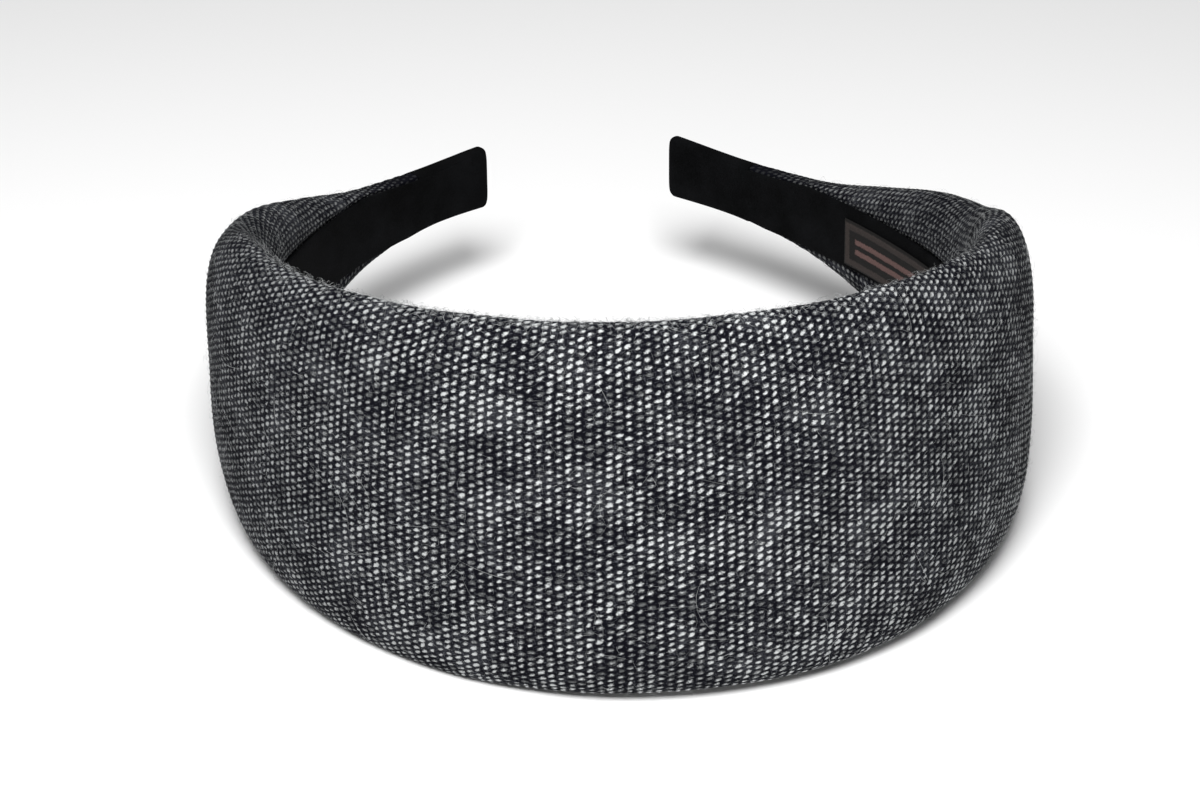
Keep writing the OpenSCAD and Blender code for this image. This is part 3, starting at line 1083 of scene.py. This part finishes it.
class HAIRBAND_OT_inner_lining(bpy.types.Operator):
    """Builds the black lining, with its ends wrapped round both tips"""

    bl_idname = "hairband.inner_lining"
    bl_label = "Inner Lining"

    # Radius of the strip's corners in millimetres, and the steps round each
    STRIP_CORNER, CORNER_STEPS = 0.42, 4
    # Spacing of the points round the strip in millimetres, and the stations along it
    STRIP_SPACING, STRIP_STATIONS = 0.6, 641
    # How far from the tips the strip ends, inside the sleeves, in millimetres
    STRIP_END = 4
    # Slow waves of the edges: height and length over a radian in millimetres, and start
    STRIP_WAVES = ((0.10, 9.0, 0.0), (0.06, 3.7, 1.3), (0.04, 1.9, 0.0))
    SLEEVE_WAVES = ((0.005, 2.3, 0.0), (0.0025, 1.1, 0.7))
    # How far a sleeve stands proud of the cover's face and edges, and of the strip, in millimetres
    PROUD, EDGE_PROUD, INNER_PROUD = 0.2, 0.12, 0.03
    # Spacing of the points round a sleeve, in millimetres
    SLEEVE_SPACING = 0.4
    # Stations along a sleeve's body and its rounded corners
    SLEEVE_STATIONS, TIP_STATIONS = 44, 14
    # Rolled mouth of a sleeve: how far before its body, and how far out, in millimetres
    MOUTH = np.array([(0.25, -0.30), (0.20, -0.12), (0.10, -0.03)])
    # Share of that roll on the inner face, and share of the lining's thickness that the tips' corners lose
    INNER_ROLL, SQUEEZE = 0.2, 0.75
    # Steps round a section, and the fullness of its flat inner face
    SLEEVE_STEPS, INNER_FULLNESS = 96, 5.0

    def execute(self, context):
        look, form = context.scene.hairband_trim, BandForm(context.scene.hairband_sizes)
        inner = -form.clearance - form.lining_thickness
        made, quads, weave, ends, start = [], [], [], [], 0
        for points, s in (self.strip(form, inner), self.cap(form, inner, -1), self.cap(form, inner, 1)):
            rows, count, _ = points.shape
            way = -1 if s[0] > s[-1] else 1
            quads.append(grid_faces(rows, count, wrap=True)[:, ::way] + start)
            first = np.arange(count) + start
            ends += [first[::-way], (first + (rows - 1) * count)[::way]]
            around = np.arange(count) * self.STRIP_SPACING
            weave.append(np.stack(np.meshgrid(s, around, indexing="ij"), -1).reshape(-1, 2))
            made.append(points.reshape(-1, 3))
            start += rows * count
        points, quads, weave = np.concatenate(made), np.concatenate(quads), np.concatenate(weave)
        piece = make_piece("inner_lining_suede", points, quads, weave, lining_cloth(look), ends)
        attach(piece, "root")
        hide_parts("inner_lining")
        return {"FINISHED"}

    def strip(self, form, inner):
        """The strip along the inner face, as rings of points and their lengths along the band."""
        ring = flat_ring(inner, -form.clearance, form.strip_height, self.STRIP_CORNER, self.CORNER_STEPS)
        ring = refine(ring, self.STRIP_SPACING)
        end = form.half_length - self.STRIP_END
        s = np.linspace(-end, end, self.STRIP_STATIONS)
        wave = self.wave(self.STRIP_WAVES, s)
        low, high = form.clearance - form.seat_reach(s, -1), form.seat_reach(s, 1) - form.clearance
        level = ring[None, :, 1] / form.strip_height
        up = (low + high)[:, None] / 2 + level * (high - low)[:, None] + abs(level) * wave[:, None]
        return form.stand(form.lay(s[:, None], ring[None, :, 0], up)), s

    def wave(self, waves, s):
        """The waves' sum at lengths s."""
        return sum(height * np.sin(s / length + start) for height, length, start in waves)

    def cap(self, form, inner, side):
        """A wrapped end: a soft sleeve that follows the padded section, over a tip with rounded corners."""
        body = np.linspace(form.wrap_at, form.half_length - form.tip_corner, self.SLEEVE_STATIONS)
        corner = np.linspace(0, math.pi / 2, self.TIP_STATIONS)[1:]
        tip = form.half_length - form.tip_corner * (1 - np.sin(corner))
        places = np.concatenate([form.wrap_at - self.MOUTH[:, 0], body, tip])
        pulls = np.concatenate([np.zeros(len(self.MOUTH) + len(body)), 1 - np.cos(corner)])
        lips = np.concatenate([self.MOUTH[:, 1], np.zeros(len(body) + len(corner))])
        rings = [self.sleeve(form, inner, *station) for station in zip(places, pulls, lips)]
        count = len(refine(rings[len(self.MOUTH)], self.SLEEVE_SPACING))
        points = []
        for s, ring in zip(places, rings):
            closed = np.concatenate([ring, ring[:1]])
            run = np.concatenate([[0], np.cumsum(np.linalg.norm(np.diff(closed, axis=0), axis=1))])
            at = np.linspace(0, run[-1], count, endpoint=False)
            out, up = (np.interp(at, run, closed[:, k]) for k in (0, 1))
            points.append(form.stand(form.lay(side * s, out, up)))
        return np.array(points), side * places

    def sleeve(self, form, inner, s, pull, lip):
        """A closed section, as points [out, up]: domed as the cover outside, nearly flat inside."""
        one = np.array([s])
        thick = form.thickness(one)[0]
        squeeze = pull * form.lining_thickness * self.SQUEEZE
        inside = inner - self.INNER_PROUD + squeeze - lip * self.INNER_ROLL
        edge, outside = form.edge_share * thick, thick + self.PROUD - squeeze + lip
        half = form.half_height(one)[0] + self.EDGE_PROUD + lip - pull * form.tip_corner
        half = half + self.wave(self.SLEEVE_WAVES, s)
        turn = np.linspace(0, 2 * math.pi, self.SLEEVE_STEPS, endpoint=False)
        cos, sin = np.cos(turn), np.sin(turn)
        fullness = np.where(cos > 0, form.outer_fullness, self.INNER_FULLNESS)
        edge_fullness = np.where(cos > 0, form.edge_fullness, self.INNER_FULLNESS)
        out = edge + np.where(cos > 0, outside - edge, inside - edge) * np.abs(cos) ** (2 / fullness)
        up = half * np.sign(sin) * np.abs(sin) ** (2 / edge_fullness)
        return np.stack([out, up], -1)


class HAIRBAND_OT_label(bpy.types.Operator):
    """Builds the woven label on the lining, with a plain bar pattern"""

    bl_idname = "hairband.label"
    bl_label = "Woven Label"

    # Places of the close lines along each edge, and where the even ones start, in millimetres
    EDGE_LINES, EVEN_FROM = np.array([0, 0.06, 0.18]), 0.35
    # Even lines along the label and across it
    LINES_ALONG, LINES_ACROSS = 130, 40
    # Width of the rounded edge in millimetres, and the share of the thickness that it loses
    ROUNDING, EDGE_LOSS = 0.3, 0.75
    # Middle, half width and height of the raised border, in millimetres
    BORDER_AT, BORDER_HALF, BORDER_HEIGHT = 1.05, 0.75, 0.10
    # What the thickness leaves for the raised border, in millimetres
    SPARE = 0.12
    # Ripples of its face: height and length over a radian in millimetres, and slant
    RIPPLES = ((0.05, 2.6, 0.35), (0.03, 1.1, -0.6))

    def execute(self, context):
        look, form = context.scene.hairband_trim, BandForm(context.scene.hairband_sizes)
        length, height = in_mm(look.label_length), in_mm(look.label_height)
        thick, near = in_mm(look.label_thickness), form.half_length - in_mm(look.label_reach)
        seat = -form.clearance - form.lining_thickness - form.clearance
        across = self.lines(height, self.LINES_ACROSS) - height / 2
        a, b = np.meshgrid(self.lines(length, self.LINES_ALONG), across, indexing="ij")
        inside = np.minimum(np.minimum(a, length - a), height / 2 - np.abs(b))
        edge = 1 - self.EDGE_LOSS * np.clip(1 - inside / self.ROUNDING, 0, 1) ** 2
        border = self.BORDER_HEIGHT * np.clip(1 - np.abs(inside - self.BORDER_AT) / self.BORDER_HALF, 0, 1)
        ripple = sum(rise * np.sin(a / long + b * slant) for rise, long, slant in self.RIPPLES)
        depth = (thick - self.SPARE) * edge + border + ripple * np.clip(inside, 0, 1)
        face, back = (form.stand(form.lay(near - length + a, seat - d, b)) for d in (depth, 0 * depth))

        rows, columns = a.shape
        total = rows * columns
        numbers = np.arange(total).reshape(rows, columns)
        loop = np.concatenate([numbers[:-1, 0], numbers[-1, :-1], numbers[:0:-1, -1], numbers[0, :0:-1]])
        after = np.roll(loop, -1)
        skirt = np.stack([loop, loop + total, after + total, after], -1)
        quads = grid_faces(rows, columns)
        quads = np.concatenate([quads, quads[:, ::-1] + total, skirt])
        points = np.concatenate([face.reshape(-1, 3), back.reshape(-1, 3)])
        weave = np.tile(np.stack([a, b], -1).reshape(-1, 2), (2, 1))
        piece = make_piece("label_ribbon", points, quads, weave, label_cloth(look))
        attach(piece, "root")
        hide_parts("label")
        return {"FINISHED"}

    def lines(self, length, count):
        """Places across a length, close at both edges and even between them."""
        even = np.linspace(self.EVEN_FROM, length - self.EVEN_FROM, count)
        return np.concatenate([self.EDGE_LINES, even, length - self.EDGE_LINES[::-1]])


class HAIRBAND_OT_stage(bpy.types.Operator):
    """Lays the pale floor and sets the light and the camera"""

    bl_idname = "hairband.stage"
    bl_label = "Stage"

    # How far the floor reaches to the left, the front, the right and the back, in metres
    FLOOR = (-3, -3, 3, 5)
    # Place, target and width of each light, in metres
    SOFTBOX = ((-0.06, -0.34, 0.56), (0, -0.02, 0.02), 0.3)
    FILL = ((0.05, -0.9, 0.25), (0, 0, 0.03), 0.5)
    # Width of the camera's sensor in millimetres, and its range in metres
    SENSOR, NEAREST, FARTHEST = 36, 0.01, 20

    def execute(self, context):
        look, scene = context.scene.hairband_stage, context.scene
        mesh = bpy.data.meshes.new("floor")
        left, front, right, back = self.FLOOR
        corners = [(left, front, 0), (right, front, 0), (right, back, 0), (left, back, 0)]
        mesh.from_pydata(corners, [], [(0, 1, 2, 3)])
        mesh.materials.append(floor_finish(look))
        floor = bpy.data.objects.new("floor", mesh)
        scene.collection.objects.link(floor)

        world = bpy.data.worlds.new("studio")
        world.use_nodes = True
        sky = world.node_tree.nodes["Background"].inputs
        sky["Color"].default_value, sky["Strength"].default_value = (1, 1, 1, 1), look.sky_strength
        scene.world = world
        scene.view_settings.view_transform = "Standard"
        self.light(scene, "softbox", look.softbox_power, *self.SOFTBOX)
        self.light(scene, "fill", look.fill_power, *self.FILL)
        self.camera(scene, look)
        return {"FINISHED"}

    def light(self, scene, name, power, place, target, width):
        """A square soft light at a place, turned to its target."""
        data = bpy.data.lights.new(name, "AREA")
        data.shape, data.size, data.energy = "SQUARE", width, power
        lamp = bpy.data.objects.new(name, data)
        lamp.location = place
        lamp.rotation_euler = (Vector(target) - Vector(place)).to_track_quat("-Z", "Y").to_euler()
        scene.collection.objects.link(lamp)

    def camera(self, scene, look):
        """A camera at its distance from the target, turned to it and rolled."""
        turn, tip, roll = look.camera_azimuth, look.camera_elevation, look.camera_roll
        back = Vector((math.sin(turn) * math.cos(tip), -math.cos(turn) * math.cos(tip), math.sin(tip)))
        right = Vector((math.cos(turn), math.sin(turn), 0))
        up = back.cross(right)
        rolled_right = right * math.cos(roll) - up * math.sin(roll)
        rolled_up = right * math.sin(roll) + up * math.cos(roll)
        place = Matrix.Translation(Vector(look.camera_target) + back * look.camera_distance)
        data = bpy.data.cameras.new("camera")
        data.sensor_fit, data.sensor_width, data.lens = "HORIZONTAL", self.SENSOR, look.camera_lens
        data.clip_start, data.clip_end = self.NEAREST, self.FARTHEST
        camera = bpy.data.objects.new("camera", data)
        camera.matrix_world = place @ Matrix((rolled_right, rolled_up, back)).transposed().to_4x4()
        scene.collection.objects.link(camera)
        scene.camera = camera


class HAIRBAND_PT_pieces(bpy.types.Panel):
    """Lists the band's pieces and their settings"""

    bl_label = "Hair Band"
    bl_idname = "HAIRBAND_PT_pieces"
    bl_space_type = "VIEW_3D"
    bl_region_type = "UI"
    bl_category = "Hair Band"

    def draw(self, context):
        for title, settings, group in GROUPS:
            box = self.layout.box()
            box.label(text=title)
            for name in group.__annotations__:
                box.prop(getattr(context.scene, settings), name)
        for operator in OPERATORS:
            self.layout.operator(operator.bl_idname)


GROUPS = (
    ("Sizes", "hairband_sizes", BandSizes),
    ("Tweed", "hairband_tweed", TweedLook),
    ("Lining and Label", "hairband_trim", TrimLook),
    ("Stage", "hairband_stage", StageLook),
)
OPERATORS = (
    HAIRBAND_OT_stage,
    HAIRBAND_OT_tweed_cover,
    HAIRBAND_OT_fibres,
    HAIRBAND_OT_inner_lining,
    HAIRBAND_OT_label,
)


def register():
    for _, settings, group in GROUPS:
        bpy.utils.register_class(group)
        setattr(bpy.types.Scene, settings, PointerProperty(type=group))
    for kind in (*OPERATORS, HAIRBAND_PT_pieces):
        bpy.utils.register_class(kind)


def unregister():
    for kind in reversed((*OPERATORS, HAIRBAND_PT_pieces)):
        bpy.utils.unregister_class(kind)
    for _, settings, group in reversed(GROUPS):
        delattr(bpy.types.Scene, settings)
        bpy.utils.unregister_class(group)


def main():
    register()
    bpy.ops.hairband.stage()
    bpy.ops.hairband.tweed_cover()
    bpy.ops.hairband.fibres()
    bpy.ops.hairband.inner_lining()
    bpy.ops.hairband.label()


if __name__ == "__main__":
    main()
